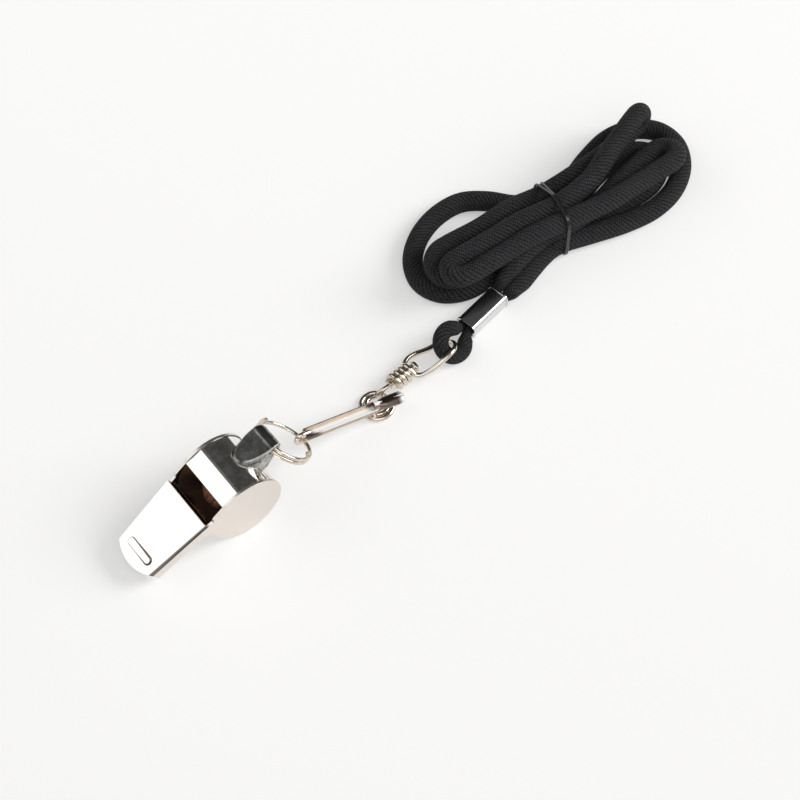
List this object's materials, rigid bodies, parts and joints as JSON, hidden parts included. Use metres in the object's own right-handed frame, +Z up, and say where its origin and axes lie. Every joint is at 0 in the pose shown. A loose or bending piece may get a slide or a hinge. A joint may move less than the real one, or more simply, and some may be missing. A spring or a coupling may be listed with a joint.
{
  "type": "pea_whistle_with_lanyard",
  "caption": "Sheet metal pea whistle with a cork pea, hung by a split ring on a sprung snap hook with a swivel, and a black cord lanyard tied in a hank.",
  "frame": {"origin": "on the floor under the middle of the whistle, split ring, hook and eye loop", "axes": "X from the mouthpiece to the lanyard, Y to the whistle's left side, Z up"},
  "size_m": [0.1917, 0.0475, 0.0217],
  "materials": {
    "plate_metal": "polished nickel plate on sheet metal",
    "wire_metal": "polished nickel plate on wire",
    "ferrule_metal": "rolled sheet metal, slightly brushed",
    "cork": "turned cork",
    "cord": "twill woven cord",
    "tie_plastic": "glossy thin band"
  },
  "bodies": {
    "whistle": {"left_side_plate": "plate_metal", "right_side_plate": "plate_metal", "barrel_band": "plate_metal", "mouthpiece_top": "plate_metal", "mouthpiece_bottom": "plate_metal", "windway_floor": "plate_metal", "bail": "plate_metal"},
    "pea": {"cork_pea": "cork"},
    "ring": {"split_ring": "wire_metal"},
    "hook": {"hook_wire": "wire_metal", "swivel_stem": "wire_metal", "hinge_boss": "wire_metal", "hinge_pin": "wire_metal"},
    "gate": {"gate_lever": "plate_metal"},
    "swivel": {"eye_loop": "wire_metal"},
    "lanyard": {"cord_eye": "cord", "ferrule": "ferrule_metal", "cord_tail": "cord", "cord_hank": "cord", "hank_tie": "tie_plastic"}
  },
  "joints": [
    {"name": "pea_orbit", "type": "hinge", "parent": "whistle", "child": "pea", "pos_m": [-0.02123, 0, 0.01], "axis": [0, 1, 0], "continuous": true},
    {"name": "ring_swing", "type": "hinge", "parent": "whistle", "child": "ring", "pos_m": [-0.00936, 0, 0.01917], "axis": [0, -1, 0], "range_deg": [-15, 60]},
    {"name": "hook_swing", "type": "hinge", "parent": "ring", "child": "hook", "pos_m": [0.00121, 0.00038, 0.00925], "axis": [-0.0628, -0.998, 0], "range_deg": [-30, 30]},
    {"name": "gate_open", "type": "hinge", "parent": "hook", "child": "gate", "pos_m": [0.02176, -0.00091, 0.00259], "axis": [-0.0628, -0.998, 0], "range_deg": [0, 2.6], "stiffness_Nm_per_rad": 0.01, "springref_deg": -11.46},
    {"name": "swivel_spin", "type": "hinge", "parent": "hook", "child": "swivel", "pos_m": [0.03035, 0.00249, 0.00266], "axis": [0.9978, 0.0663, 0], "continuous": true},
    {"name": "lanyard_swing", "type": "hinge", "parent": "swivel", "child": "lanyard", "pos_m": [0.05042, 0.00212, 0.00427], "axis": [-0.0465, -0.8061, 0.5899], "range_deg": [-5, 40]}
  ]
}
